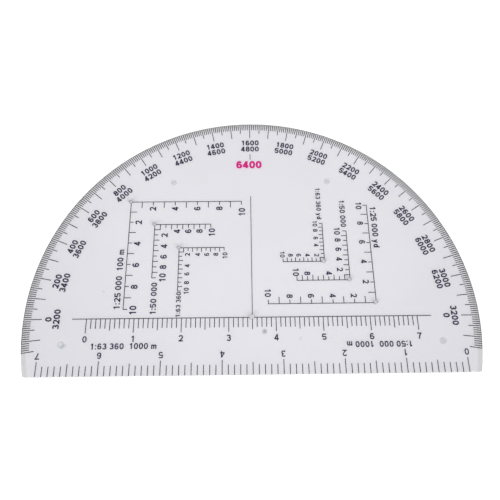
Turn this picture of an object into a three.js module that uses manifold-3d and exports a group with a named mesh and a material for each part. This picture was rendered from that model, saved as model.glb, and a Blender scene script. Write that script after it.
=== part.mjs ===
// Clear plastic map protractor, six inches across. Two clear plies hold the print between them:
// a mils scale round the arc, two straight distance scales and six right-angled coordinate
// scales (romers). Pencil holes are punched through plies and print at the centre and corners.
// Millimetres, +Z up. The sheet lies face up with its straight edge towards -Y, and the origin
// is the middle of its underside. Print sizes are measured from the centre of the arc.
import * as THREE from 'three';
import { mergeVertices } from 'three/addons/utils/BufferGeometryUtils.js';
import Module from 'manifold-3d';

const wasm = await Module();
wasm.setup();

// Sheet
const arcRadius = 76.2;
const straightEdgeDrop = 18.8;
const cornerRadius = 0.8;
const plyThickness = 0.75;
const inkThickness = 0.05;
const bevelWidth = 1.4;
const bevelDrop = 0.35;

// Punched holes: where the punch sits relative to the print, and its two sizes
const centreHoleDiameter = 1.6;
const cornerHoleDiameter = 1.3;
const punchShiftX = -0.2;
const punchShiftY = 0.2;

// Shallow round press marks in both outer faces, in pairs left and right. Insets are from the arc.
const pressMarkDiameter = 1.8;
const pressMarkDepth = 0.12;
const upperMarkInset = 17.8;
const upperMarkSpread = 28.3;
const lowerMarkInset = 12.83;
const lowerMarkDrop = 8.5;

// Ruled lines: the romers and the diameter line, the finest lines, and the ticks of the scales
const printInset = 0.05;
const ruleWidth = 0.28;
const fineRuleWidth = 0.25;
const scaleTickWidth = 0.28;

// Mils scale: tick lengths count from the arc edge
const rimLineWidth = 0.18;
const fineTickLength = 2.6;
const fiftyTickLength = 4.1;
const hundredTickLength = 6.1;
const numeralBandWidth = 6;
const indexTickInset = 13.2;
const indexTickLength = 2.4;

// Straight scales: tick lengths count from the line they hang on
const diameterLineOverrun = 4.76;
const diameterLineClearance = 3;
const centreLineLength = 45.2;
const straightTickLength = 3.3;
const straightFifthLength = 4;
const straightTenthLength = 4.8;
const edgeScaleMargin = 3;
const edgeJoinWidth = 0.06;

// Ground distances that one tick stands for, at true size, and the map scales
const hundredMetres = 100000;
const hundredYards = 91440;
const largeMapRatio = 25000;
const middleMapRatio = 50000;
const inchToMileRatio = 63360;

// Metre romers open right and down, yard romers left and up. The outer one of each set keeps
// clear of the mils numbers, the centre line beside it and the diameter line at its foot, and
// each further one is nested inside the last.
const romerClearance = 2.2;
const metreSideGap = 3.38;
const metreFootGap = 3.16;
const yardSideGap = 5.47;
const yardFootGap = 4.58;
const metreNest = 9;
const yardNest = 8.2;
const yardInnerNestX = 8.4;
const yardInnerNestY = 6.85;
const largeOddTick = 2.4;
const largeEvenTick = 1.4;
const middleOddTick = 1.9;
const middleEvenTick = 1.4;
const smallOddTick = 1.55;
const smallEvenTick = 1.15;

// Counts. The mils scale has a tick every 10 mils of the 6400 in a turn, and some past its ends.
const ticksPerTurn = 640;
const ticksPastEnds = 15;
const ticksPerFifty = 5;
const ticksPerHundred = 10;
const ticksPerRimFacet = 5;
const ticksPerUnit = 10;
const arcSides = 240;
const holeSides = 20;
const filletSides = 6;

// How far cutters run past what they cut, and how near two corners are one
const cutOverrun = 2;
const weldDistance = 0.0005;

const sheetThickness = plyThickness + inkThickness + plyThickness;
const quarterTurn = Math.PI / 2;

// Solids for cutting: a closed geometry goes in, a geometry comes back
function toSolid(geometry) {
  for (const name of Object.keys(geometry.attributes)) {
    if (name !== 'position') {
      geometry.deleteAttribute(name);
    }
  }
  const welded = mergeVertices(geometry, weldDistance);
  const corners = welded.index.array;
  const triVerts = [];
  for (let i = 0; i < corners.length; i += 3) {
    const [a, b, c] = corners.subarray(i, i + 3);
    if (a !== b && b !== c && c !== a) {
      triVerts.push(a, b, c);
    }
  }
  const mesh = new wasm.Mesh({
    numProp: 3,
    vertProperties: new Float32Array(welded.attributes.position.array),
    triVerts: new Uint32Array(triVerts),
  });
  return new wasm.Manifold(mesh);
}

function toGeometry(solid) {
  const mesh = solid.getMesh();
  const indexed = new THREE.BufferGeometry();
  indexed.setAttribute('position', new THREE.BufferAttribute(mesh.vertProperties, 3));
  indexed.setIndex(new THREE.BufferAttribute(mesh.triVerts, 1));
  const geometry = indexed.toNonIndexed();
  geometry.computeVertexNormals();
  return geometry;
}

// Upright round cutter from the height `bottom` to the height `top`
function roundCutter(x, y, diameter, bottom, top) {
  const cylinder = new THREE.CylinderGeometry(diameter / 2, diameter / 2, top - bottom, holeSides);
  cylinder.rotateX(quarterTurn);
  cylinder.translate(x, y, (bottom + top) / 2);
  return toSolid(cylinder);
}

// Where the romers' corners are, in the print. The outer ones reach from their gaps towards the
// mils numbers, along the diagonal.
const metreStep = (ratio) => hundredMetres / ratio;
const yardStep = (ratio) => hundredYards / ratio;
const romerRoomRadius = arcRadius - hundredTickLength - numeralBandWidth - romerClearance;
const romerRoom = romerRoomRadius / Math.SQRT2;

// A romer covers a whole grid square, or as many steps of it as there is room for. The weld
// distance keeps a room of exactly so many steps from losing one to rounding.
const stepsInRoom = (room, step) => Math.min(ticksPerUnit, Math.floor((room + weldDistance) / step));

const metreLargeStep = metreStep(largeMapRatio);
const metreLargeSide = stepsInRoom(romerRoom - metreSideGap, metreLargeStep) * metreLargeStep;
const metreLargeX = -metreSideGap - metreLargeSide;
const metreLargeY = metreFootGap + metreLargeSide;
const yardLargeStep = yardStep(largeMapRatio);
const yardLargeX = yardSideGap + stepsInRoom(romerRoom - yardSideGap, yardLargeStep) * yardLargeStep;
const yardLargeY = yardFootGap;

const largeTicks = { oddTick: largeOddTick, evenTick: largeEvenTick, boxed: false };
const middleTicks = { oddTick: middleOddTick, evenTick: middleEvenTick, boxed: true };
const smallTicks = { oddTick: smallOddTick, evenTick: smallEvenTick, boxed: true };

function metreRomer(name, nest, ratio, ticks) {
  const x = metreLargeX + nest;
  const y = metreLargeY - nest;
  const step = metreStep(ratio);
  const steps = stepsInRoom(-x - metreSideGap, step);
  return { name, x, y, turn: 0, step, steps, ...ticks };
}

function yardRomer(name, nestX, nestY, ratio, ticks) {
  const x = yardLargeX - nestX;
  const y = yardLargeY + nestY;
  const step = yardStep(ratio);
  const steps = stepsInRoom(x - yardSideGap, step);
  return { name, x, y, turn: Math.PI, step, steps, ...ticks };
}

const romers = [
  metreRomer('romer_25k_metres', 0, largeMapRatio, largeTicks),
  metreRomer('romer_50k_metres', metreNest, middleMapRatio, middleTicks),
  metreRomer('romer_63k_metres', 2 * metreNest, inchToMileRatio, smallTicks),
  yardRomer('romer_25k_yards', 0, 0, largeMapRatio, largeTicks),
  yardRomer('romer_50k_yards', yardNest, yardNest, middleMapRatio, middleTicks),
  yardRomer(
    'romer_63k_yards', yardNest + yardInnerNestX, yardNest + yardInnerNestY, inchToMileRatio, smallTicks,
  ),
];

// The punch goes through plies and print alike
const punches = [
  roundCutter(punchShiftX, punchShiftY, centreHoleDiameter, -cutOverrun, sheetThickness + cutOverrun),
  ...romers.map(({ x, y }) => roundCutter(
    x + punchShiftX, y + punchShiftY, cornerHoleDiameter, -cutOverrun, sheetThickness + cutOverrun,
  )),
];

function punched(solid) {
  return punches.reduce((left, punch) => left.subtract(punch), solid);
}

// Plies. The outline is a disc cut by the straight edge, whose ends are rounded into the arc.
function straightEdgeCutter() {
  const filletX = Math.sqrt((arcRadius - cornerRadius) ** 2 - (straightEdgeDrop - cornerRadius) ** 2);
  const filletY = cornerRadius - straightEdgeDrop;
  const meetAngle = Math.atan2(filletY, filletX);
  const far = arcRadius + cutOverrun;
  const shape = new THREE.Shape();
  shape.moveTo(-filletX, -straightEdgeDrop);
  shape.lineTo(filletX, -straightEdgeDrop);
  shape.absarc(filletX, filletY, cornerRadius, -quarterTurn, meetAngle, false);
  shape.lineTo(far * Math.cos(meetAngle), far * Math.sin(meetAngle));
  shape.lineTo(far, far);
  shape.lineTo(-far, far);
  shape.lineTo(-far * Math.cos(meetAngle), far * Math.sin(meetAngle));
  shape.absarc(-filletX, filletY, cornerRadius, Math.PI - meetAngle, 3 * quarterTurn, false);
  const cutter = new THREE.ExtrudeGeometry(shape, {
    depth: plyThickness + 2 * cutOverrun,
    bevelEnabled: false,
    curveSegments: filletSides,
  });
  cutter.translate(0, 0, -cutOverrun);
  return toSolid(cutter);
}

function disc(profile) {
  const corners = profile.map(([radius, height]) => new THREE.Vector2(radius, height));
  const lathe = new THREE.LatheGeometry(corners, arcSides);
  lathe.rotateX(quarterTurn);
  return toSolid(lathe);
}

const upperMarkRise = Math.sqrt((arcRadius - upperMarkInset) ** 2 - upperMarkSpread ** 2);
const lowerMarkSpread = Math.sqrt((arcRadius - lowerMarkInset) ** 2 - lowerMarkDrop ** 2);
const markPlaces = [
  [-upperMarkSpread, upperMarkRise],
  [upperMarkSpread, upperMarkRise],
  [-lowerMarkSpread, -lowerMarkDrop],
  [lowerMarkSpread, -lowerMarkDrop],
];

function ply(profile, markBottom, markTop, z) {
  let solid = disc(profile).intersect(straightEdgeCutter());
  for (const [x, y] of markPlaces) {
    solid = solid.subtract(roundCutter(x, y, pressMarkDiameter, markBottom, markTop));
  }
  return toGeometry(punched(solid.translate([0, 0, z])));
}

const frontZ = plyThickness + inkThickness;

// The front ply slopes down to the arc edge, so that the ticks lie close to the map
const frontPly = () => ply(
  [[0, 0], [arcRadius, 0], [arcRadius, plyThickness - bevelDrop], [arcRadius - bevelWidth, plyThickness],
    [0, plyThickness]],
  plyThickness - pressMarkDepth, plyThickness + cutOverrun, frontZ,
);

const backPly = () => ply(
  [[0, 0], [arcRadius, 0], [arcRadius, plyThickness], [0, plyThickness]],
  -cutOverrun, pressMarkDepth, 0,
);

// Print. Each island of ink is an outline in the plane, given the ink's thickness and punched.
const point = (x, y) => new THREE.Vector2(x, y);

// Drops corners that repeat the next one or lie straight between their neighbours
function tidyOutline(points) {
  const apart = points.filter((here, i) => here.distanceTo(points[(i + 1) % points.length]) > weldDistance);
  return apart.filter((here, i) => {
    const before = apart[(i + apart.length - 1) % apart.length];
    const after = apart[(i + 1) % apart.length];
    const bend = here.clone().sub(before).cross(after.clone().sub(here));
    return Math.abs(bend) > weldDistance ** 2;
  });
}

function inkIsland(points, { turn = 0, x = 0, y = 0, hole = null } = {}) {
  const shape = new THREE.Shape(tidyOutline(points));
  if (hole) {
    shape.holes.push(new THREE.Path(hole));
  }
  const island = new THREE.ExtrudeGeometry(shape, { depth: inkThickness, bevelEnabled: false });
  island.rotateZ(turn);
  island.translate(x, y, plyThickness);
  return toGeometry(punched(toSolid(island)));
}

// Corners of ticks [place, length] along the -Y side of a line along +X
function tickedSide(ticks, lineWidth, tickWidth) {
  const h = lineWidth / 2;
  const t = tickWidth / 2;
  return ticks.flatMap(([place, length]) => [
    point(place - t, -h), point(place - t, -length), point(place + t, -length), point(place + t, -h),
  ]);
}

// Outline of a line along +X with its ticks. A tick at an end of the line is flush with it.
function comb(from, to, lineWidth, tickWidth, ticks) {
  const h = lineWidth / 2;
  const side = tickedSide(ticks, lineWidth, tickWidth);
  return [point(to, h), point(from, h), point(from, -h), ...side, point(to, -h)];
}

const turned = (points) => points.map(({ x, y }) => point(-y, -x));
const flipped = (points) => points.map(({ x, y }) => point(x, -y));

// Mils scale. Ticks are counted clockwise from the left end of the diameter line.
const tickAngle = (index) => Math.PI - (index / ticksPerTurn) * 2 * Math.PI;

function milsTickLength(index) {
  if (index % ticksPerHundred === 0) {
    return hundredTickLength;
  }
  return index % ticksPerFifty === 0 ? fiftyTickLength : fineTickLength;
}

function milsScale() {
  const rimOuter = arcRadius - printInset;
  const rimInner = rimOuter - rimLineWidth;
  const first = -ticksPastEnds;
  const last = ticksPerTurn / 2 + ticksPastEnds;
  const at = (index, radius, side) => {
    const angle = tickAngle(index);
    const half = side * scaleTickWidth / 2;
    return point(
      radius * Math.cos(angle) - half * Math.sin(angle),
      radius * Math.sin(angle) + half * Math.cos(angle),
    );
  };
  const points = [at(first, rimOuter, 1)];
  for (let index = first + ticksPerRimFacet; index < last; index += ticksPerRimFacet) {
    points.push(at(index, rimOuter, 0));
  }
  points.push(at(last, rimOuter, -1));
  for (let index = last; index >= first; index -= 1) {
    const tip = arcRadius - milsTickLength(index);
    points.push(at(index, rimInner, -1), at(index, tip, -1), at(index, tip, 1), at(index, rimInner, 1));
  }
  return inkIsland(points);
}

function indexTick() {
  const top = arcRadius - indexTickInset;
  const bar = comb(0, indexTickLength, fineRuleWidth, fineRuleWidth, []);
  return inkIsland(turned(bar), { y: top });
}

function centreLine() {
  const bar = comb(0, centreLineLength, fineRuleWidth, fineRuleWidth, []);
  return inkIsland(turned(bar), { turn: Math.PI });
}

// Ticks of a straight scale, by index from its middle
function straightTickLengthAt(index) {
  if (index % ticksPerUnit === 0) {
    return straightTenthLength;
  }
  return index % (ticksPerUnit / 2) === 0 ? straightFifthLength : straightTickLength;
}

function straightTicks(step, units) {
  const count = ticksPerUnit * units;
  const ticks = [];
  for (let index = 0; index <= count; index += 1) {
    ticks.push([(index - count / 2) * step, straightTickLengthAt(index)]);
  }
  return ticks;
}

// The diameter line is parted by the centre hole, which leaves its middle tick by itself
const diameterStep = metreStep(inchToMileRatio);
const diameterRoom = arcRadius - hundredTickLength - diameterLineOverrun - diameterLineClearance;
const diameterUnits = Math.floor((2 * diameterRoom) / (ticksPerUnit * diameterStep));
const diameterTicks = straightTicks(diameterStep, diameterUnits);
const diameterHalf = (ticksPerUnit * diameterUnits * diameterStep) / 2 + diameterLineOverrun;
const centreHoleReach = centreHoleDiameter / 2 + Math.max(Math.abs(punchShiftX), Math.abs(punchShiftY));

function diameterLineLeft() {
  const ticks = diameterTicks.filter(([place]) => place < -centreHoleReach);
  return inkIsland(comb(-diameterHalf, 0, ruleWidth, scaleTickWidth, ticks));
}

function diameterLineRight() {
  const ticks = diameterTicks.filter(([place]) => place > centreHoleReach);
  return inkIsland(comb(0, diameterHalf, ruleWidth, scaleTickWidth, ticks));
}

function diameterMiddleTick() {
  const [, length] = diameterTicks[Math.floor(diameterTicks.length / 2)];
  return inkIsland(turned(comb(0, length, scaleTickWidth, scaleTickWidth, [])));
}

// The scale along the straight edge, whose ticks stand on a hair line at the edge
function edgeScale() {
  const step = metreStep(middleMapRatio);
  const edgeLength = 2 * Math.sqrt(arcRadius ** 2 - straightEdgeDrop ** 2);
  const units = Math.floor((edgeLength - 2 * edgeScaleMargin) / (ticksPerUnit * step));
  const lineInset = printInset + edgeJoinWidth / 2;
  const ticks = straightTicks(step, units).map(([place, length]) => [place, length - lineInset]);
  const reach = (ticksPerUnit * units * step + scaleTickWidth) / 2;
  const points = flipped(comb(-reach, reach, edgeJoinWidth, scaleTickWidth, ticks));
  return inkIsland(points, { y: lineInset - straightEdgeDrop });
}

// Romers. Two arms meet square at the corner, with ticks on their inner sides, longer at odd
// steps. In the smaller ones the first ticks of both arms meet in a box.
function romerTicks({ step, steps, oddTick, evenTick }, first) {
  const ticks = [];
  for (let index = first; index <= steps; index += 1) {
    ticks.push([index * step, index % 2 === 1 ? oddTick : evenTick]);
  }
  return ticks;
}

const romerReach = ({ step, steps }) => steps * step + ruleWidth / 2;

function romerAcross(romer) {
  return inkIsland(comb(0, romerReach(romer), ruleWidth, ruleWidth, romerTicks(romer, 1)), romer);
}

function romerDown(romer) {
  return inkIsland(turned(comb(0, romerReach(romer), ruleWidth, ruleWidth, romerTicks(romer, 1))), romer);
}

function boxedRomer(romer) {
  const h = ruleWidth / 2;
  const near = romer.step - h;
  const far = romer.step + h;
  const reach = romerReach(romer);
  const side = tickedSide(romerTicks(romer, 2), ruleWidth, ruleWidth);
  const outline = [
    point(-h, h), point(reach, h), ...[...side].reverse(), point(far, -h), point(far, -far),
    point(h, -far), ...turned(side), point(-h, -reach),
  ];
  const hole = [point(h, -h), point(h, -near), point(near, -near), point(near, -h)];
  return inkIsland(outline, { ...romer, hole });
}

// Materials
function clearPlastic() {
  return new THREE.MeshStandardMaterial({
    color: 0xe4e4e9, roughness: 0.08, metalness: 0, transparent: true, opacity: 0.35,
  });
}

function printingInk() {
  return new THREE.MeshStandardMaterial({ color: 0x2a2838, roughness: 0.6, metalness: 0 });
}

// Assembly
const protractor = new THREE.Group();
protractor.name = 'protractor';
protractor.position.y = (straightEdgeDrop - arcRadius) / 2;

function add(name, geometry, material) {
  const mesh = new THREE.Mesh(geometry, material);
  mesh.name = name;
  protractor.add(mesh);
}

add('front_sheet', frontPly(), clearPlastic());
add('back_sheet', backPly(), clearPlastic());
add('mils_scale_print', milsScale(), printingInk());
add('index_tick_print', indexTick(), printingInk());
add('centre_line_print', centreLine(), printingInk());
add('diameter_scale_left_print', diameterLineLeft(), printingInk());
add('diameter_scale_right_print', diameterLineRight(), printingInk());
add('diameter_scale_middle_tick_print', diameterMiddleTick(), printingInk());
add('edge_scale_print', edgeScale(), printingInk());
for (const romer of romers) {
  if (romer.boxed) {
    add(`${romer.name}_print`, boxedRomer(romer), printingInk());
  } else {
    add(`${romer.name}_across_print`, romerAcross(romer), printingInk());
    add(`${romer.name}_down_print`, romerDown(romer), printingInk());
  }
}

export default protractor;
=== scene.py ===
"""A clear plastic map protractor lying on white card, seen from above its straight edge.

The printed lines are the CAD model's own. The two clear plies are shown as the one bonded
laminate that they are, and the numbers and scale ratios are flat bodies of ink in its middle.
Places on the sheet are in print millimetres: x to the right and y up the sheet from the centre
of the arc, z up from the underside. place() turns them into the frame's metres.
"""

import math

import bmesh
import bpy
import numpy as np
from mathutils import Matrix, Vector
from mathutils.geometry import delaunay_2d_cdt


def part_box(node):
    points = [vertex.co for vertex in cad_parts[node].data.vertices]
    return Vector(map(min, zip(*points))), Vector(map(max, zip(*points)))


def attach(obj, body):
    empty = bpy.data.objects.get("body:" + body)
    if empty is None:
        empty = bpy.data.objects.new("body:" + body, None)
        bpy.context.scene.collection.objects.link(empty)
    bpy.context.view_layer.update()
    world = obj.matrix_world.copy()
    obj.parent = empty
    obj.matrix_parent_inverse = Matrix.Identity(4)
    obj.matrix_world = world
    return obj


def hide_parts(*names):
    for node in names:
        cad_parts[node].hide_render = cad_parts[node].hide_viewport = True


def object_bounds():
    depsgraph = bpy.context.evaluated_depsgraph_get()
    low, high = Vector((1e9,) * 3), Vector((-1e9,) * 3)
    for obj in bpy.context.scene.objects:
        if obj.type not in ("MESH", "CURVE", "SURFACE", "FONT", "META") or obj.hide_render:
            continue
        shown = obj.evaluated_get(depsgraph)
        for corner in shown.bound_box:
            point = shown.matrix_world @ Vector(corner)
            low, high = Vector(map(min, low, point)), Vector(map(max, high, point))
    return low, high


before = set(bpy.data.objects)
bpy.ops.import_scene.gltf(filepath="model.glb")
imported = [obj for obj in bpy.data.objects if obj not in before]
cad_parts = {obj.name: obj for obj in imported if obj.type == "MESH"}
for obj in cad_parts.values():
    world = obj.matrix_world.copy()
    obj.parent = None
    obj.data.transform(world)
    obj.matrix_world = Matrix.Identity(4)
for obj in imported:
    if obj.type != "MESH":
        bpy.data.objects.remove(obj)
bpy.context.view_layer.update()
MM = 0.001


def in_millimetres(box):
    """Low and high corner of a box of the frame's, without the noise of single precision: they are
    rounded to the micron, which is as fine as the CAD model is drawn."""
    return np.round(np.array(box) / MM, 3)


# Sizes that the frame gives, in millimetres
SHEET_LOW, SHEET_HIGH = in_millimetres(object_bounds())
INK_LOW, INK_HIGH = in_millimetres(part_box("mils_scale_print"))
ARC_RADIUS = SHEET_HIGH[0]
ARC_CENTRE_Y = SHEET_HIGH[1] - ARC_RADIUS
EDGE_Y = SHEET_LOW[1] - ARC_CENTRE_Y
SHEET_TOP = SHEET_HIGH[2]
INK_BOTTOM, INK_TOP = INK_LOW[2], INK_HIGH[2]


def place(points):
    """Print millimetres to frame metres."""
    return (np.asarray(points, float) + (0, ARC_CENTRE_Y, 0)) * MM


# Camera, from the printed scales' known sizes: focal length in pixels of a 500 pixel image
IMAGE_WIDTH_PX = 500
FOCAL_PX = 512.1
SENSOR_WIDTH = 36
CAMERA_PLACE = (-2.60, -40.54, 168.89)
CAMERA_AIM = (-0.49, 24.20, 0.79)
CAMERA_ROLL = math.radians(1.212)
CLIP_START = 5


def make_camera():
    """The photograph's view: looks from its place at its aim, then rolls about its own axis."""
    data = bpy.data.cameras.new("camera")
    data.sensor_width = SENSOR_WIDTH
    data.lens = FOCAL_PX / IMAGE_WIDTH_PX * SENSOR_WIDTH
    data.clip_start = CLIP_START * MM
    camera = bpy.data.objects.new("camera", data)
    bpy.context.scene.collection.objects.link(camera)
    start, aim = (Vector(place(point)) for point in (CAMERA_PLACE, CAMERA_AIM))
    turn = (aim - start).to_track_quat("-Z", "Y").to_matrix().to_4x4()
    camera.matrix_world = Matrix.Translation(start) @ turn @ Matrix.Rotation(CAMERA_ROLL, 4, "Z")
    bpy.context.scene.camera = camera


make_camera()


# Materials
def linear(hex_colour):
    """An sRGB hex colour as linear red, green, blue and a full alpha."""
    parts = [int(hex_colour[i:i + 2], 16) / 255 for i in (1, 3, 5)]
    return tuple(c / 12.92 if c <= 0.04045 else ((c + 0.055) / 1.055) ** 2.4 for c in parts) + (1.0,)


def add_node(tree, kind, inputs=(), **settings):
    """Adds a node. settings are its own properties. inputs gives sockets, by name or number, a
    value or another node's output that they are linked from."""
    made = tree.nodes.new(kind)
    for name, value in settings.items():
        setattr(made, name, value)
    for socket, value in dict(inputs).items():
        if isinstance(value, bpy.types.NodeSocket):
            tree.links.new(value, made.inputs[socket])
        else:
            made.inputs[socket].default_value = value
    return made


def new_material(name):
    """An empty node material with its output node, and the object coordinates in metres."""
    material = bpy.data.materials.new(name)
    material.use_nodes = True
    tree = material.node_tree
    tree.nodes.clear()
    output = add_node(tree, "ShaderNodeOutputMaterial")
    spot = add_node(tree, "ShaderNodeTexCoord").outputs["Object"]
    return material, tree, output, spot


# Punched holes and press marks
PUNCH_SHIFT = (-0.2, 0.2)
CENTRE_HOLE = 1.6
CORNER_HOLE = 1.3
RULE_WIDTH = 0.28
PRESS_MARKS = ((-28.3, 51.08), (28.3, 51.08), (-62.8, -8.5), (62.8, -8.5))
PRESS_MARK = 1.8
PRESS_DEPTH = 0.12


def romer_corner(unit, ratio):
    """Where the two rules of a romer cross. The outer corner of its print is half a rule out from
    there, at the upper left of the metre romers and the lower right of the yard ones."""
    nodes = [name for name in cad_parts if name.startswith(f"romer_{ratio}_{unit}")]
    boxes = np.array([in_millimetres(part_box(name)) for name in nodes])
    low, high = boxes[:, 0].min(0), boxes[:, 1].max(0)
    if unit == "metres":
        x, y = low[0] + RULE_WIDTH / 2, high[1] - RULE_WIDTH / 2
    else:
        x, y = high[0] - RULE_WIDTH / 2, low[1] + RULE_WIDTH / 2
    return x, y - ARC_CENTRE_Y


ROMER_CORNERS = [
    romer_corner(unit, ratio) for unit in ("metres", "yards") for ratio in ("25k", "50k", "63k")
]
HOLE_CENTRES = [np.add(corner, PUNCH_SHIFT) for corner in ((0, 0), *ROMER_CORNERS)]
HOLE_SIZES = [CENTRE_HOLE] + [CORNER_HOLE] * len(ROMER_CORNERS)

# The clear sheet. Tints act on what is seen through it, and PASSES on the light that reaches the card
# below, once for each surface. It greys a little away from its middle: that is painted shade, standing in
# for the light that falls off towards its ends.
MIDDLE_TINT = "#FBFAFE"
# Painted shade: the tint towards the sheet's ends, where less light falls
END_SHADE_TINT = "#F0EFF3"
# Painted shade on the bevel, for the darker surroundings that its slope refracts and mirrors
BEVEL_SHADE_TINT = "#E0E1E0"
PASSES = "#ECECED"
# Middle and reach, in mm, of the painted shade towards the ends
END_SHADE_CENTRE = (0, 42)
END_SHADE_FROM, END_SHADE_TO = 32, 98
BEVEL_WIDTH = 1.4
BEVEL_SHADE_BLEND = 0.1
PVC_IOR = 1.53
POLISH = (0.02, 0.06)
CLOUD_SIZE = 18
CLOUD_LOW, CLOUD_HIGH = 0.35, 0.65
CLOUD_DEPTH = 0.985
CREST_LOW, CREST_HIGH = 0.70, 0.76
HAIRLINE_WIDTH = 0.12
HAIRLINE_LENGTH = 22
HAIRLINE_TURNS = (24, -58)
HAIRLINE_DEPTH = 0.975
# Grey rims at the punched holes: partly graphite and partly painted shade of the holes' walls
RIM_MARK_WIDTH = 0.42
RIM_MARK_DEPTH = 0.86
# Painted shade in a ring at the rim of each press mark's dimple
PRESS_RING_SHADE_WIDTH = 0.35
PRESS_RING_SHADE_DEPTH = 0.75

# Smudges of use and spots of painted shade: x, y, radius and the tint that each gives in its middle. The
# first three are smudges. The rest, at the press marks, are painted shade for the marks' shadows on the
# card, and the two at the lower left are tinted green as a painted fringe of refraction.
SPOT_CORE_SHARE = 0.2
SMUDGES_AND_SHADE_SPOTS = (
    (4.0, -4.8, 1.25, "#C6C6C9"),
    (15.8, -7.3, 1.0, "#F4F4F4"),
    (-50.4, 9.4, 0.6, "#EEEEEE"),
    # Painted shadow with a painted green fringe of refraction at the lower left press mark
    (-62.4, -9.1, 1.2, "#E2EBE7"),
    (-61.4, -8.8, 0.8, "#EAF1EE"),
    # Painted shade at the lower right and the two upper press marks
    (62.8, -8.6, 1.1, "#E2E1E8"),
    (-28.3, 51.1, 1.1, "#E4E4E6"),
    (28.3, 51.1, 1.1, "#E2E2E5"),
)


def distance_from(tree, spot, centre):
    """How far a point is from a place on the sheet, in metres, measured flat."""
    moved = add_node(tree, "ShaderNodeVectorMath", {0: spot, 1: -place((*centre, 0))})
    flat = add_node(tree, "ShaderNodeVectorMath", {0: moved.outputs[0], 1: (1, 1, 0)}, operation="MULTIPLY")
    return add_node(tree, "ShaderNodeVectorMath", {0: flat.outputs[0]}, operation="LENGTH").outputs["Value"]


def spread(tree, spot, centre, start, end):
    """0 up to start mm from a place on the sheet, 1 past end mm and a smooth change between."""
    return add_node(tree, "ShaderNodeMapRange", {
        "Value": distance_from(tree, spot, centre), "From Min": start * MM, "From Max": end * MM,
    }, interpolation_type="SMOOTHSTEP").outputs["Result"]


def ring_mark(tree, spot, centre, radius, width, left):
    """The share of light that a soft ring leaves: left on its line and 1 from width mm off it."""
    off = add_node(tree, "ShaderNodeMath", {
        0: distance_from(tree, spot, centre), 1: radius * MM,
    }, operation="SUBTRACT")
    away = add_node(tree, "ShaderNodeMath", {0: off.outputs[0]}, operation="ABSOLUTE")
    return add_node(tree, "ShaderNodeMapRange", {
        "Value": away.outputs[0], "From Max": width * MM, "To Min": left,
    }, interpolation_type="SMOOTHSTEP").outputs["Result"]


def cloud(tree, spot):
    """The faint unevenness of pressing: broad soft noise between CLOUD_DEPTH and 1."""
    noise = add_node(tree, "ShaderNodeTexNoise", {
        "Vector": spot, "Scale": 1 / (CLOUD_SIZE * MM), "Detail": 2.0,
    })
    return add_node(tree, "ShaderNodeMapRange", {
        "Value": noise.outputs["Fac"], "From Min": CLOUD_LOW, "From Max": CLOUD_HIGH, "To Min": CLOUD_DEPTH,
    }).outputs["Result"]


def hairlines(tree, spot, degrees):
    """Fine scratches of handling: noise stretched along one direction, of which only the crests
    count. It gives 1 between them and HAIRLINE_DEPTH on them."""
    turned = add_node(tree, "ShaderNodeMapping", {
        "Vector": spot, "Rotation": (0, 0, math.radians(degrees)),
        "Scale": (1 / (HAIRLINE_LENGTH * MM), 1 / (HAIRLINE_WIDTH * MM), 1),
    })
    noise = add_node(tree, "ShaderNodeTexNoise", {"Vector": turned.outputs[0], "Scale": 1.0, "Detail": 1.0})
    return add_node(tree, "ShaderNodeMapRange", {
        "Value": noise.outputs["Fac"], "From Min": CREST_LOW, "From Max": CREST_HIGH,
        "To Min": 1.0, "To Max": HAIRLINE_DEPTH,
    }).outputs["Result"]


def sheet_tint(tree, spot):
    """Tint of what is seen through the sheet: lilac white in the middle, faintly cloudy, with the smudges
    and hairlines of use. Painted shade greys it towards the ends, where the light falls off, and on the
    bevel, for the darker surroundings that its slope refracts and mirrors. Painted shade also rings the
    rims of the press marks, and spots of it beside them, two with a painted green fringe of refraction,
    stand in for their shadows on the card. The grey rims at the punched holes are partly graphite and
    partly painted shade of their walls."""
    # The bevel's grey is painted shade, for the darker surroundings that its slope refracts and mirrors
    bevel_start = ARC_RADIUS - BEVEL_WIDTH
    bevel = spread(tree, spot, (0, 0), bevel_start - BEVEL_SHADE_BLEND, bevel_start + BEVEL_SHADE_BLEND)
    # Painted shade towards the ends of the sheet, where the light falls off
    ends = spread(tree, spot, END_SHADE_CENTRE, END_SHADE_FROM, END_SHADE_TO)
    tint = linear(MIDDLE_TINT)
    for share, further in ((ends, END_SHADE_TINT), (bevel, BEVEL_SHADE_TINT)):
        tint = add_node(tree, "ShaderNodeMix", {
            "Factor": share, 6: tint, 7: linear(further),
        }, data_type="RGBA").outputs[2]
    # Smudges of use, and spots of painted shade at the press marks
    for x, y, size, spot_colour in SMUDGES_AND_SHADE_SPOTS:
        away = spread(tree, spot, (x, y), SPOT_CORE_SHARE * size, size)
        spotted = add_node(tree, "ShaderNodeMix", {
            "Factor": away, 6: linear(spot_colour), 7: linear("#FFFFFF"),
        }, data_type="RGBA").outputs[2]
        tint = add_node(tree, "ShaderNodeVectorMath", {
            0: tint, 1: spotted,
        }, operation="MULTIPLY").outputs[0]
    shares = [cloud(tree, spot)]
    shares += [hairlines(tree, spot, degrees) for degrees in HAIRLINE_TURNS]
    # Grey rims at the punched holes, partly graphite and partly painted shade of their walls
    shares += [
        ring_mark(tree, spot, centre, size / 2, RIM_MARK_WIDTH, RIM_MARK_DEPTH)
        for centre, size in zip(HOLE_CENTRES, HOLE_SIZES)
    ]
    # Painted shade rings at the rims of the press marks
    shares += [
        ring_mark(tree, spot, centre, PRESS_MARK / 2, PRESS_RING_SHADE_WIDTH, PRESS_RING_SHADE_DEPTH)
        for centre in PRESS_MARKS
    ]
    for share in shares:
        tint = add_node(tree, "ShaderNodeVectorMath", {
            0: tint, "Scale": share,
        }, operation="SCALE").outputs[0]
    return tint


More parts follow.
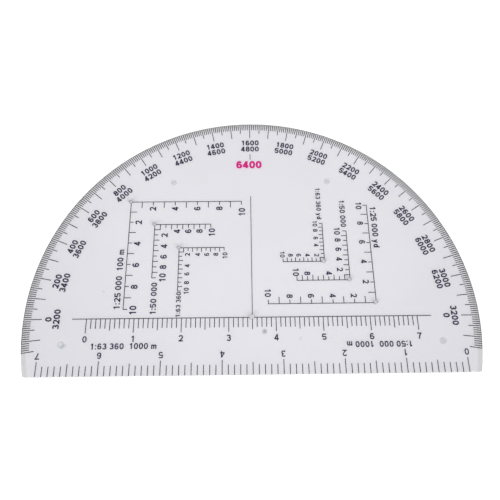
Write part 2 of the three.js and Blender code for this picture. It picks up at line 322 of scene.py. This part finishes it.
def seen_or_passed(tree, seen, passed):
    """The seen shader for the rays that look at a surface, and the passed one for the rays that
    carry light through it to the card, which are the shadow rays and the diffuse ones."""
    path = add_node(tree, "ShaderNodeLightPath")
    for ray in ("Is Shadow Ray", "Is Diffuse Ray"):
        seen = add_node(tree, "ShaderNodeMixShader", {0: path.outputs[ray], 1: seen, 2: passed}).outputs[0]
    return seen


def clear_pvc():
    """Clear rigid PVC, laminated and press polished: it shows the card below a little dimmed, with
    a faint lilac cast, and mirrors the room softly."""
    material, tree, output, spot = new_material("clear_pvc")
    polish = add_node(tree, "ShaderNodeTexNoise", {
        "Vector": spot, "Scale": 1 / (CLOUD_SIZE * MM), "Detail": 3.0,
    })
    roughness = add_node(tree, "ShaderNodeMapRange", {
        "Value": polish.outputs["Fac"], "To Min": POLISH[0], "To Max": POLISH[1],
    })
    plastic = add_node(tree, "ShaderNodeBsdfPrincipled", {
        "Base Color": sheet_tint(tree, spot), "Roughness": roughness.outputs["Result"],
        "IOR": PVC_IOR, "Transmission Weight": 1.0,
    })
    passing = add_node(tree, "ShaderNodeBsdfTransparent", {"Color": linear(PASSES)})
    face = seen_or_passed(tree, plastic.outputs[0], passing.outputs[0])
    tree.links.new(face, output.inputs["Surface"])
    return material


# Cut walls: how wide the marks of the tool are, how many times longer they run up the wall, and
# how rough the wall is
TOOL_MARK = 0.25
TOOL_MARK_STRETCH = 20
WALL_ROUGHNESS = 0.45


def cut_pvc(name, haze, deep_haze, clear_to_light, clear_to_look):
    """The same PVC where a tool cut it: the wall is satin and hazy, with faint upright marks of the tool. A
    routed edge is only a soft grey line. A punched wall is bruised, so it is milkier, and its darker grey
    is partly graphite from pencil points and partly painted shade of the hole's inside. clear_to_light is
    the share of the light on the card that the wall lets straight through, and clear_to_look that of what
    is seen through it."""
    material, tree, output, spot = new_material(name)
    upright = add_node(tree, "ShaderNodeMapping", {"Vector": spot, "Scale": (1, 1, 1 / TOOL_MARK_STRETCH)})
    marks = add_node(tree, "ShaderNodeTexNoise", {
        "Vector": upright.outputs[0], "Scale": 1 / (TOOL_MARK * MM),
    })
    colour = add_node(tree, "ShaderNodeMix", {
        "Factor": marks.outputs["Fac"], 6: linear(haze), 7: linear(deep_haze),
    }, data_type="RGBA")
    satin = add_node(tree, "ShaderNodeBsdfPrincipled", {
        "Base Color": colour.outputs[2], "Roughness": WALL_ROUGHNESS, "IOR": PVC_IOR,
    })
    through = add_node(tree, "ShaderNodeBsdfTransparent")
    seen, passed = (
        add_node(tree, "ShaderNodeMixShader", {0: share, 1: satin.outputs[0], 2: through.outputs[0]})
        for share in (clear_to_look, clear_to_light)
    )
    wall = seen_or_passed(tree, seen.outputs[0], passed.outputs[0])
    tree.links.new(wall, output.inputs["Surface"])
    return material


# Ink: the share of light that its film lets through to the card, how rough it is, and the mesh of
# the screen, with the noise levels between which the film goes from dense to thin
INK_PASSES = 0.9
INK_ROUGHNESS = 0.55
SCREEN_MESH = 0.12
DENSE_LEVEL, THIN_LEVEL = 0.4, 0.7


def screen_ink(name, dense, thin):
    """Screen printing ink sealed between the plies: matt, nearly even, and a little thinner in
    cells of the screen. The film is dark to the eye, but so thin that a share of the light goes
    through it to the card. In the broad strokes of the figures it lies thicker, and its blue shows
    more than in the fine lines."""
    material, tree, output, spot = new_material(name)
    cells = add_node(tree, "ShaderNodeTexNoise", {
        "Vector": spot, "Scale": 1 / (SCREEN_MESH * MM), "Detail": 2.0,
    })
    share = add_node(tree, "ShaderNodeMapRange", {
        "Value": cells.outputs["Fac"], "From Min": DENSE_LEVEL, "From Max": THIN_LEVEL,
    })
    colour = add_node(tree, "ShaderNodeMix", {
        "Factor": share.outputs["Result"], 6: linear(dense), 7: linear(thin),
    }, data_type="RGBA")
    ink = add_node(tree, "ShaderNodeBsdfPrincipled", {
        "Base Color": colour.outputs[2], "Roughness": INK_ROUGHNESS,
    })
    clear = add_node(tree, "ShaderNodeBsdfTransparent")
    film = add_node(tree, "ShaderNodeMixShader", {0: INK_PASSES, 1: ink.outputs[0], 2: clear.outputs[0]})
    print_face = seen_or_passed(tree, ink.outputs[0], film.outputs[0])
    tree.links.new(print_face, output.inputs["Surface"])
    return material


CLEAR_PVC = clear_pvc()
ROUTED_PVC = cut_pvc("routed_pvc", "#DADCDE", "#CACCCF", 0.8, 0.5)
# The punched wall's darker grey is partly graphite and partly painted shade of the holes
PUNCHED_PVC = cut_pvc("punched_pvc", "#C2C4C7", "#ABADB1", 0.42, 0.28)
LINE_INK = screen_ink("blue_black_ink", "#100E22", "#1D1B30")
FIGURE_INK = screen_ink("navy_ink", "#100D38", "#1D1A46")
MAGENTA_INK = screen_ink("magenta_ink", "#E00084", "#EA149A")

for name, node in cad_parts.items():
    if name.endswith("_print"):
        for material_slot in node.material_slots:
            material_slot.material = LINE_INK


def add_piece(name, mesh, material):
    """Puts a finished mesh in the scene as a piece that rides on the sheet's one body."""
    mesh.name = name
    mesh.materials.append(material)
    piece = bpy.data.objects.new(name, mesh)
    bpy.context.scene.collection.objects.link(piece)
    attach(piece, "root")
    return piece


# The clear laminate: its sizes, its steps, and two heights of a face's unit normal. Past
# CUT_WALL_LEAN a face is clear instead of cut, and past LEVEL it is flat. The finishes are
# numbered as the material slots are. FILL_INSIDE is Blender's number for a fill inside its
# outlines, and in it points nearer than FILL_SNAP would count as one.
BEVEL_DROP = 0.35
CORNER_RADIUS = 0.8
EDGE_EASE = 0.07
FLAT_INSET = 1.5 * EDGE_EASE
HOLE_EASE = 0.08
ARC_STEPS = 540
EDGE_STEPS = 60
CORNER_STEPS = 10
EDGE_EASE_STEPS = 5
HOLE_EASE_STEPS = 4
CIRCLE_STEPS = 28
DIMPLE_SHARES = (1, 0.9, 0.75, 0.55, 0.35, 0.15)
CUT_WALL_LEAN = 0.3
LEVEL = 0.9999
CLEAR, ROUTED, PUNCHED = range(3)
FILL_INSIDE = 1
FILL_SNAP = 0.0001


def sheet_outline():
    """The half round outline, anticlockwise from the straight edge's left end: the edge, a
    fillet, the arc and the other fillet, as x and y rows."""
    fillet_x = math.sqrt((ARC_RADIUS - CORNER_RADIUS) ** 2 - (EDGE_Y + CORNER_RADIUS) ** 2)
    fillet_y = EDGE_Y + CORNER_RADIUS
    meet = math.atan2(fillet_y, fillet_x)
    x = np.linspace(-fillet_x, fillet_x, EDGE_STEPS, endpoint=False)
    edge = np.c_[x, np.full_like(x, EDGE_Y)]
    turn = np.linspace(-math.pi / 2, meet, CORNER_STEPS, endpoint=False)
    right = np.c_[np.cos(turn), np.sin(turn)] * CORNER_RADIUS + (fillet_x, fillet_y)
    turn = np.linspace(meet, math.pi - meet, ARC_STEPS, endpoint=False)
    arc = np.c_[np.cos(turn), np.sin(turn)] * ARC_RADIUS
    turn = np.linspace(math.pi - meet, 1.5 * math.pi, CORNER_STEPS, endpoint=False)
    left = np.c_[np.cos(turn), np.sin(turn)] * CORNER_RADIUS + (-fillet_x, fillet_y)
    return np.vstack([edge, right, arc, left])


def inward(outline):
    """Unit normals of a closed anticlockwise outline, pointing in."""
    along = np.roll(outline, -1, 0) - np.roll(outline, 1, 0)
    along /= np.linalg.norm(along, axis=1, keepdims=True)
    return np.c_[-along[:, 1], along[:, 0]]


def with_height(ring, height):
    """An outline's points at a height, which is one number or one for each point."""
    return np.c_[ring, np.broadcast_to(height, len(ring))]


def sheet_rings():
    """Closed rings from the flat underside's border, round the wall, to the flat top's border.
    The wall's two corners are quarter rounds of EDGE_EASE, and at the arc the top slopes: the
    height falls by BEVEL_DROP over the last BEVEL_WIDTH of the radius."""
    outline = sheet_outline()
    normal = inward(outline)
    radius = np.linalg.norm(outline, axis=1)
    bevel_start = ARC_RADIUS - BEVEL_WIDTH
    past = np.clip((radius - bevel_start) / BEVEL_WIDTH, 0, 1)
    wall_top = SHEET_TOP - BEVEL_DROP * past
    turn = np.linspace(0, math.pi / 2, EDGE_EASE_STEPS)
    rings = [
        with_height(outline + normal * EDGE_EASE * (1 - math.sin(t)), EDGE_EASE * (1 - math.cos(t)))
        for t in turn
    ]
    rings += [
        with_height(
            outline + normal * EDGE_EASE * (1 - math.cos(t)),
            wall_top - EDGE_EASE * (1 - math.sin(t)),
        )
        for t in turn
    ]
    scale = np.where(radius > bevel_start, bevel_start / radius, 1)[:, None]
    flat_border = (outline + normal * FLAT_INSET) * scale
    rings.append(with_height(flat_border, SHEET_TOP))
    return rings


def circle(centre, radius):
    """Points of a circle, clockwise, as x and y rows."""
    turn = -np.linspace(0, 2 * math.pi, CIRCLE_STEPS, endpoint=False)
    return np.c_[np.cos(turn), np.sin(turn)] * radius + centre


def hole_rings(centre, diameter):
    """Rings up a punched hole: the wall, with a quarter round of HOLE_EASE at both mouths."""
    turn = np.linspace(0, math.pi / 2, HOLE_EASE_STEPS)
    low = [(diameter / 2 + HOLE_EASE * (1 - math.sin(t)), HOLE_EASE * (1 - math.cos(t))) for t in turn]
    high = [(radius, SHEET_TOP - height) for radius, height in reversed(low)]
    return [with_height(circle(centre, radius), height) for radius, height in low + high]


def dimple_rings(centre, top):
    """Rings of a press mark, from its rim to near its middle. Its depth is PRESS_DEPTH times the
    square of the cosine of a quarter turn spread over its radius, so both ends are level."""
    depth = PRESS_DEPTH * np.cos(np.array(DIMPLE_SHARES) * math.pi / 2) ** 2
    heights = SHEET_TOP - depth if top else depth
    return [
        with_height(circle(centre, share * PRESS_MARK / 2), height)
        for share, height in zip(DIMPLE_SHARES, heights)
    ]


def strip_faces(ring_count, ring_size, first):
    """Quads between neighbouring rings of a stack whose points start at index first."""
    ring, step = np.meshgrid(np.arange(ring_count - 1), np.arange(ring_size), indexing="ij")
    here = first + ring * ring_size + step
    beside = first + ring * ring_size + (step + 1) % ring_size
    return np.stack([here, beside, beside + ring_size, here + ring_size], -1).reshape(-1, 4)


def flat_fill(points, loops):
    """Triangles of a flat face, as point numbers. The first loop is its outline and the others are
    convex holes. It is the constrained Delaunay fill of the outline, less the triangles that lie
    in a hole, which are those with all corners on one hole."""
    border = np.concatenate(loops)
    owner = np.repeat(np.arange(len(loops)), [len(loop) for loop in loops])
    turns = [np.flatnonzero(owner == index).tolist() for index in range(len(loops))]
    spots = [Vector(spot) for spot in points[border, :2]]
    fill = delaunay_2d_cdt(spots, [], turns, FILL_INSIDE, FILL_SNAP)
    triangles, sources = fill[2], np.array([source[0] for source in fill[3]])
    corners = sources[np.array(triangles)]
    in_hole = (owner[corners] == owner[corners[:, :1]]).all(1) & (owner[corners[:, 0]] > 0)
    return border[corners[~in_hole]].tolist()


def clear_laminate():
    """The bonded sheet as one closed body: the wall's rings, seven punched holes and eight press
    marks, joined by a flat top and a flat underside filled between their borders. Each face has
    the number of its finish."""
    points, faces, finishes, count = [], [], [], 0
    borders = {"low": [], "high": []}

    def stack(rings, low, high, finish):
        """Adds rings from the bottom up. low and high say which of its ends a flat face meets."""
        nonlocal count
        size = len(rings[0])
        points.append(np.vstack(rings))
        strips = strip_faces(len(rings), size, count).tolist()
        faces.extend(strips)
        finishes.extend([finish] * len(strips))
        if low:
            borders["low"].append(np.arange(size) + count)
        if high:
            borders["high"].append(np.arange(size) + count + (len(rings) - 1) * size)
        count += len(rings) * size

    stack(sheet_rings(), True, True, ROUTED)
    for centre, size in zip(HOLE_CENTRES, HOLE_SIZES):
        stack(hole_rings(centre, size), True, True, PUNCHED)
    for centre in PRESS_MARKS:
        for top in (True, False):
            rings = dimple_rings(centre, top)
            stack(rings[::-1] if top else rings, not top, top, CLEAR)
            innermost = count - (len(rings) if top else 1) * CIRCLE_STEPS
            faces.append((np.arange(CIRCLE_STEPS) + innermost).tolist())
            finishes.append(CLEAR)
    points = np.vstack(points)
    for loops in borders.values():
        triangles = flat_fill(points, loops)
        faces.extend(triangles)
        finishes.extend([CLEAR] * len(triangles))
    mesh = bpy.data.meshes.new("clear_laminate")
    mesh.from_pydata(place(points), [], faces)
    mesh.polygons.foreach_set("material_index", finishes)
    shell = bmesh.new()
    shell.from_mesh(mesh)
    bmesh.ops.recalc_face_normals(shell, faces=shell.faces[:])
    for face in shell.faces:
        lean = abs(face.normal.z)
        face.smooth = lean < LEVEL
        if lean > CUT_WALL_LEAN:
            face.material_index = CLEAR
    shell.to_mesh(mesh)
    shell.free()
    return mesh


laminate = add_piece("clear_laminate", clear_laminate(), CLEAR_PVC)
for cut_finish in (ROUTED_PVC, PUNCHED_PVC):
    laminate.data.materials.append(cut_finish)
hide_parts("front_sheet", "back_sheet")


# Lettering. Every character is drawn with a pen of one width, in a box whose height is 1. It
# stands on 0, with its middle at x = 0.
PEN = 0.203
HALF_BODY = 0.24
WAIST = 0.52
PEN_LOW = PEN / 2
PEN_HIGH = 1 - PEN / 2
OVAL_POWER = 2.35
STROKE_STEPS = 14
MITRE_LIMIT = 1.8
GLYPH_INSET = 0.1 * (INK_TOP - INK_BOTTOM)
GLYPH_LOW = INK_BOTTOM + GLYPH_INSET
GLYPH_HIGH = INK_TOP - GLYPH_INSET
FIGURE_ADVANCE = 0.81


def oval(x, y, wide, high, start=0.0, end=None):
    """Points of a superellipse about x, y: the cosine and sine of the turn, each raised to two
    over OVAL_POWER. Turns are in degrees, and without an end it closes on itself."""
    whole = end is None
    turn = np.radians(np.linspace(start, 360 if whole else end, 2 * STROKE_STEPS, endpoint=not whole))
    share = np.c_[np.cos(turn), np.sin(turn)]
    share = np.sign(share) * np.abs(share) ** (2 / OVAL_POWER)
    return share * (wide, high) + (x, y)


def bend(start, pull, end):
    """Points of a quadratic curve from start to end, pulled towards a third point."""
    t = np.linspace(0, 1, STROKE_STEPS)[:, None]
    return (1 - t) ** 2 * np.array(start) + 2 * t * (1 - t) * np.array(pull) + t ** 2 * np.array(end)


def line(*points):
    """A straight stroke or one with sharp corners."""
    return np.array(points, float)


def figure_strokes():
    """The strokes of every character, each as its points and whether it closes on itself."""
    wide, low, high = HALF_BODY, PEN_LOW, PEN_HIGH
    upper, upper_half = (high + WAIST) / 2, (high - WAIST) / 2
    lower, lower_half = (WAIST + low) / 2, (WAIST - low) / 2
    left, right = -wide - PEN / 2, wide + PEN / 2
    six = [
        (oval(0, lower + 0.01, wide, lower_half + 0.01), True),
        (oval(0, 0.5, wide, high - 0.5, 35, 190), False),
    ]
    arch = oval(-0.17, 0.5, 0.17, 0.72 - low - 0.5, 180, 0)
    return {
        "0": [(oval(0, 0.5, wide, high - 0.5), True)],
        "1": [(line((0.07, 0), (0.07, 1)), False), (bend((-0.19, 0.74), (0.0, 0.80), (0.05, 0.93)), False)],
        "2": [
            (np.vstack([
                oval(0, 0.69, wide, high - 0.69, 172, -25),
                bend((wide * 0.86, 0.56), (0.05, 0.34), (-0.17, low)),
            ]), False),
            (line((left, low), (right, low)), False),
        ],
        "3": [
            (oval(-0.01, upper, wide - 0.025, upper_half, 163, -95), False),
            (oval(0, lower, wide, lower_half, 97, -163), False),
        ],
        "4": [
            (line((0.11, 0), (0.11, 1)), False),
            (line((left - 0.02, 0.27), (right, 0.27)), False),
            (line((0.10, 0.95), (left + 0.06, 0.28)), False),
        ],
        "5": [
            (line((right - 0.05, high), (left + 0.09, high)), False),
            (line((left + 0.13, 0.97), (left + 0.05, 0.44)), False),
            (oval(0, lower + 0.01, wide, lower_half + 0.01, 135, -163), False),
        ],
        "6": six,
        "7": [
            (line((left, high), (right, high)), False),
            (bend((wide, high), (-0.03, 0.56), (-0.08, 0)), False),
        ],
        "8": [
            (oval(0, upper, wide - 0.035, upper_half), True),
            (oval(0, lower, wide, lower_half), True),
        ],
        "9": [((0, 1) - points * (1, 1), closed) for points, closed in six],
        ":": [(line((0, 0.02), (0, 0.02 + PEN)), False), (line((0, 0.55), (0, 0.55 + PEN)), False)],
        "m": [
            (line((-0.34, 0), (-0.34, 0.72)), False), (line((0, 0), (0, 0.52)), False),
            (line((0.34, 0), (0.34, 0.52)), False), (arch, False), (arch + (0.34, 0), False),
        ],
        "y": [
            (line((-0.23, 0.72), (0.01, 0.06)), False),
            (bend((0.23, 0.72), (0.03, 0.16), (-0.04, -0.10)), False),
            (line((-0.02, -0.06), (-0.16, -0.21)), False),
        ],
        "d": [
            (oval(-0.03, 0.36, 0.2, 0.36 - low), True),
            (line((0.2, 0), (0.2, 1)), False),
        ],
    }


FIGURE_STROKES = figure_strokes()
ADVANCE_SHARES = {" ": 0.45, ":": 0.5, "m": 1.3}


def ribbon(points, closed, pen):
    """A stroke as a flat closed body: the path is offset by half the pen to both sides, along the
    mean of its neighbouring normals, which is lengthened at a bend so that the width holds. The
    rows are left low, right low, right high and left high."""
    after = np.roll(points, -1, 0) - points
    if not closed:
        after[-1] = after[-2]
    after /= np.linalg.norm(after, axis=1, keepdims=True)
    before = np.roll(after, 1, 0)
    if not closed:
        before[0] = after[0]
    sideways = np.c_[-(after + before)[:, 1], (after + before)[:, 0]]
    sideways /= np.linalg.norm(sideways, axis=1, keepdims=True)
    across = np.abs((sideways * np.c_[-after[:, 1], after[:, 0]]).sum(1))
    reach = pen / 2 / np.maximum(across, 1 / MITRE_LIMIT)
    edge = sideways * reach[:, None]
    count = len(points)
    rows = [(edge, GLYPH_LOW), (-edge, GLYPH_LOW), (-edge, GLYPH_HIGH), (edge, GLYPH_HIGH)]
    corners = np.vstack([np.c_[points + offset, np.full(count, height)] for offset, height in rows])
    step = np.arange(count if closed else count - 1)
    row = np.arange(4)[:, None] * count
    beside = (np.arange(4)[:, None] + 1) % 4 * count
    ahead = (step + 1) % count
    faces = np.stack([row + step, beside + step, beside + ahead, row + ahead], -1).reshape(-1, 4)
    if not closed:
        caps = np.array([np.arange(4)[::-1] * count, np.arange(4) * count + count - 1])
        faces = np.vstack([faces, caps])
    return corners, faces


def lettering(words, height, advance=FIGURE_ADVANCE, pen=PEN, width=1.0):
    """A line of characters as points and faces, centred on 0 both ways and height millimetres
    tall. A figure takes advance times the height along the line, and width makes it narrower."""
    widths = np.array([ADVANCE_SHARES.get(character, 1.0) for character in words]) * advance * height
    middles = np.cumsum(widths) - widths / 2 - widths.sum() / 2
    points, faces, count = [], [], 0
    for character, middle in zip(words, middles):
        for stroke, closed in FIGURE_STROKES.get(character, ()):
            body, body_faces = ribbon(stroke, closed, pen)
            points.append(body * (width * height, height, 1) + (middle, -height / 2, 0))
            faces.append(body_faces + count)
            count += len(body)
    return np.vstack(points), np.vstack(faces)


def print_piece(name, lines, material=FIGURE_INK):
    """Joins lines of lettering, each as (points and faces, x, y, turn in degrees), in one piece."""
    points, faces, count = [], [], 0
    for (shape, shape_faces), x, y, degrees in lines:
        cosine, sine = math.cos(math.radians(degrees)), math.sin(math.radians(degrees))
        across = np.array([[cosine, sine, 0], [-sine, cosine, 0], [0, 0, 1]])
        points.append(shape @ across + (x, y, 0))
        faces.append(shape_faces + count)
        count += len(shape)
    mesh = bpy.data.meshes.new(name)
    mesh.from_pydata(place(np.vstack(points)), [], np.vstack(faces).tolist())
    return add_piece(name, mesh, material)


# Mils numbers: two rows, read from the centre outward
MILS_IN_TURN = 6400
MILS_BETWEEN_NUMBERS = 200
MILS_NUMBER_HEIGHT = 2.15
MILS_NUMBER_PEN = 0.225
OUTER_ROW_RADIUS = 67.9
INNER_ROW_RADIUS = 65.2


def mils_row(radius, readings):
    """Numbers along the arc, upright as seen from its centre, one every 200 mils."""
    lines = []
    for index, reading in enumerate(readings):
        turn = math.pi - index * MILS_BETWEEN_NUMBERS * 2 * math.pi / MILS_IN_TURN
        x, y = radius * math.cos(turn), radius * math.sin(turn)
        number = lettering(str(reading), MILS_NUMBER_HEIGHT, pen=MILS_NUMBER_PEN)
        lines.append((number, x, y, math.degrees(turn) - 90))
    return lines


half_turn = MILS_IN_TURN // 2
outer_readings = range(0, half_turn + 1, MILS_BETWEEN_NUMBERS)
inner_readings = [
    reading % MILS_IN_TURN for reading in range(half_turn, MILS_IN_TURN + 1, MILS_BETWEEN_NUMBERS)
]
print_piece("mils_numbers_outer", mils_row(OUTER_ROW_RADIUS, outer_readings))
print_piece("mils_numbers_inner", mils_row(INNER_ROW_RADIUS, inner_readings))

# A plain number over the centre line: the mils in a full turn
TURN_NUMBER = (-0.45, 58.4)
TURN_NUMBER_HEIGHT = 3.0
TURN_NUMBER_PEN = 0.27
turn_lettering = lettering(str(MILS_IN_TURN), TURN_NUMBER_HEIGHT, pen=TURN_NUMBER_PEN)
print_piece("turn_number", [(turn_lettering, *TURN_NUMBER, 0)], MAGENTA_INK)

# Numbers of the two straight scales, one for every kilometre on the ground. The edge scale reads
# from its far side.
STRAIGHT_NUMBER_HEIGHT = 2.15
KILOMETRE = 1000000
DIAMETER_UNIT = KILOMETRE / 63360
EDGE_UNIT = KILOMETRE / 50000
DIAMETER_NUMBER_Y = -6.8
EDGE_NUMBER_Y = -12.2
DIAMETER_NUMBER_PEN = 0.192
EDGE_NUMBER_PEN = 0.175
UNITS = 7


def straight_numbers(unit, y, side, degrees, pen):
    """Numbers 0 to UNITS, a unit apart and centred on x = 0. side is 1 from left to right."""
    places = side * (np.arange(UNITS + 1) - UNITS / 2) * unit
    return [
        (lettering(str(index), STRAIGHT_NUMBER_HEIGHT, pen=pen), x, y, degrees)
        for index, x in enumerate(places)
    ]


diameter_numbers = straight_numbers(DIAMETER_UNIT, DIAMETER_NUMBER_Y, 1, 0, DIAMETER_NUMBER_PEN)
print_piece("diameter_scale_numbers", diameter_numbers)
print_piece("edge_scale_numbers", straight_numbers(EDGE_UNIT, EDGE_NUMBER_Y, -1, 180, EDGE_NUMBER_PEN))

# Romer numbers: their height, the way they read, and for the arm across and the arm along the
# line they stand on and where each sits. The tens at the ends have places of their own.
READ_UP, READ_DOWN = 90, -90
ROMER_FIGURE_WIDTH = 0.92
ROMER_ADVANCE = 0.74
ROMER_NUMBERS = {
    "romer_25k_metres_numbers": (2.35, READ_UP, {
        "across": (40.4, ((2, -35.4), (4, -27.4), (6, -19.4), (8, -11.4))),
        "along": (-40.2, ((2, 35.07), (4, 26.9), (6, 18.9), (8, 11.0))),
        "ends": ((-3.23, 38.8), (-40.1, 2.77)),
    }),
    "romer_50k_metres_numbers": (2.3, READ_UP, {
        "across": (31.5, ((4, -26.4), (6, -22.4), (8, -18.4))),
        "along": (-30.73, ((2, 30.0), (4, 25.83), (6, 21.9), (8, 18.07))),
        "ends": ((-14.0, 30.9), (-30.73, 14.17)),
    }),
    "romer_63k_metres_numbers": (1.75, READ_UP, {
        "across": (22.6, ((2, -22.4), (4, -18.83), (6, -15.67), (8, -12.5))),
        "along": (-22.4, ((4, 18.5), (6, 15.5), (8, 12.33))),
        "ends": ((-9.27, 22.1), (-22.4, 9.33)),
    }),
    "romer_25k_yards_numbers": (2.15, READ_DOWN, {
        "across": (7.18, ((8, 12.75), (6, 20.0), (4, 27.4), (2, 34.6))),
        "along": (39.18, ((8, 34.04), (6, 26.75), (4, 19.43), (2, 12.07))),
        "ends": ((5.36, 8.43), (39.18, 41.04)),
    }),
    "romer_50k_yards_numbers": (2.15, READ_DOWN, {
        "across": (15.25, ((8, 19.2), (4, 26.7))),
        "along": (30.6, ((8, 27.6), (6, 24.04), (4, 20.4), (2, 16.57))),
        "ends": ((15.25, 15.8), (30.6, 31.1)),
    }),
    "romer_63k_yards_numbers": (1.7, READ_DOWN, {
        "across": (22.0, ((8, 13.68), (6, 16.5), (4, 19.6), (2, 22.86))),
        "along": (22.86, ((8, 31.36), (6, 28.4), (4, 25.7))),
        "ends": ((10.8, 22.36), (22.86, 34.07)),
    }),
}
for name, (height, degrees, arms) in ROMER_NUMBERS.items():
    y, across = arms["across"]
    x, along = arms["along"]
    spots = [(number, place_x, y) for number, place_x in across]
    spots += [(number, x, place_y) for number, place_y in along]
    spots += [(10, *spot) for spot in arms["ends"]]
    lines = [
        (lettering(str(number), height, ROMER_ADVANCE, width=ROMER_FIGURE_WIDTH), *spot, degrees)
        for number, *spot in spots
    ]
    print_piece(name, lines)

# Ratio of each scale, and the true length that its numbers or ticks count
RATIO_LABELS = {
    "romer_25k_metres_ratio": ("1:25 000  100 m", 2.15, (-45.6, 13.9), READ_UP),
    "romer_50k_metres_ratio": ("1:50 000", 2.05, (-33.4, 6.8), READ_UP),
    "romer_63k_metres_ratio": ("1:63 360", 1.6, (-24.95, 4.6), READ_UP),
    "romer_25k_yards_ratio": ("1:25 000 yd", 2.15, (44.2, 32.6), READ_DOWN),
    "romer_50k_yards_ratio": ("1:50 000", 1.95, (33.1, 38.0), READ_DOWN),
    "romer_63k_yards_ratio": ("1:63 360 yd", 1.7, (24.6, 42.05), READ_DOWN),
    "diameter_scale_ratio": ("1:63 360  1000 m", 2.0, (-42.35, -9.2), 0),
    "edge_scale_ratio": ("1:50 000  1000 m", 2.0, (41.8, -9.4), 180),
}
for name, (words, height, spot, degrees) in RATIO_LABELS.items():
    print_piece(name, [(lettering(words, height), *spot, degrees)])


# Floor, lamps and world
CARD = "#E8E8E8"
CARD_SEEN = 1.15
CARD_FADES = (300, 700)


def white_card():
    """White card: matt and even. What sees it straight, in a mirror or through the sheet finds it
    a little over white, so that it stays white beside the sheet and keeps the sheet's shadow. Far
    from the sheet it goes over to plain white, as the walls behind it do."""
    material, tree, output, spot = new_material("white_card")
    lit = add_node(tree, "ShaderNodeBsdfDiffuse", {"Color": linear(CARD)})
    seen = add_node(tree, "ShaderNodeBsdfDiffuse", {"Color": (CARD_SEEN, CARD_SEEN, CARD_SEEN, 1)})
    path = add_node(tree, "ShaderNodeLightPath")
    straight = add_node(tree, "ShaderNodeMath", {
        0: path.outputs["Is Camera Ray"], 1: path.outputs["Is Glossy Ray"],
    }, operation="MAXIMUM")
    any_look = add_node(tree, "ShaderNodeMath", {
        0: straight.outputs[0], 1: path.outputs["Is Transmission Ray"],
    }, operation="MAXIMUM")
    away = spread(tree, spot, (0, 0), *CARD_FADES)
    white = add_node(tree, "ShaderNodeEmission", {"Strength": 1.0})
    backdrop = add_node(tree, "ShaderNodeMixShader", {0: away, 1: seen.outputs[0], 2: white.outputs[0]})
    both = add_node(tree, "ShaderNodeMixShader", {
        0: any_look.outputs[0], 1: lit.outputs[0], 2: backdrop.outputs[0],
    })
    tree.links.new(both.outputs[0], output.inputs["Surface"])
    return material


FLOOR_HALF = 2.5
FLOOR_DROP = 0.02 * MM


def make_floor():
    """A large flat square of card just under the sheet."""
    corners = np.array([(-1, -1), (1, -1), (1, 1), (-1, 1)]) * FLOOR_HALF
    mesh = bpy.data.meshes.new("floor")
    mesh.from_pydata(np.c_[corners, np.full(4, -FLOOR_DROP)], [], [(0, 1, 2, 3)])
    mesh.materials.append(white_card())
    floor = bpy.data.objects.new("floor", mesh)
    bpy.context.scene.collection.objects.link(floor)


# Two soft square lamps. Bearings are in degrees from the far side of the sheet, and sizes in metres.
LAMP_BEARINGS = {"lamp_left": -140, "lamp_right": 140}
LAMP_ELEVATION = 40
LAMP_DISTANCE = 1.5
LAMP_SIZE = 0.9
LAMP_POWER = 9.9


def make_lamp(name, bearing):
    """A square soft lamp at a bearing, turned to face the sheet."""
    data = bpy.data.lights.new(name, "AREA")
    data.shape = "SQUARE"
    data.size = LAMP_SIZE
    data.energy = LAMP_POWER
    lamp = bpy.data.objects.new(name, data)
    bpy.context.scene.collection.objects.link(lamp)
    a, e = math.radians(bearing), math.radians(LAMP_ELEVATION)
    way = Vector((math.sin(a) * math.cos(e), math.cos(a) * math.cos(e), math.sin(e)))
    facing = (-way).to_track_quat("-Z", "Y").to_matrix().to_4x4()
    lamp.matrix_world = Matrix.Translation(way * LAMP_DISTANCE) @ facing


# The room's light: the heights of a direction at which it leaves the horizon's level and reaches
# the ceiling's, and both levels
HORIZON_TOP, CEILING_EDGE = 0.45, 0.9
HORIZON_LEVEL, CEILING_LEVEL = 0.86, 0.24


def make_world():
    """A studio with pale walls and a dimmer ceiling: the light falls from the horizon's level to
    the ceiling's as the direction rises. What looks straight at it, or through the sheet, finds
    plain white."""
    world = bpy.data.worlds.new("studio")
    world.use_nodes = True
    tree = world.node_tree
    tree.nodes.clear()
    ways = add_node(tree, "ShaderNodeTexCoord")
    parts = add_node(tree, "ShaderNodeSeparateXYZ", {0: ways.outputs["Generated"]})
    level = add_node(tree, "ShaderNodeMapRange", {
        "Value": parts.outputs["Z"], "From Min": HORIZON_TOP, "From Max": CEILING_EDGE,
        "To Min": HORIZON_LEVEL, "To Max": CEILING_LEVEL,
    }, interpolation_type="SMOOTHSTEP")
    path = add_node(tree, "ShaderNodeLightPath")
    strength = level.outputs["Result"]
    for ray in ("Is Camera Ray", "Is Transmission Ray"):
        strength = add_node(tree, "ShaderNodeMath", {
            0: strength, 1: path.outputs[ray],
        }, operation="MAXIMUM").outputs[0]
    back = add_node(tree, "ShaderNodeBackground", {"Color": linear("#FFFFFF"), "Strength": strength})
    output = add_node(tree, "ShaderNodeOutputWorld")
    tree.links.new(back.outputs[0], output.inputs["Surface"])
    bpy.context.scene.world = world


make_floor()
for lamp_name, lamp_bearing in LAMP_BEARINGS.items():
    make_lamp(lamp_name, lamp_bearing)
make_world()
bpy.context.scene.view_settings.view_transform = "Standard"
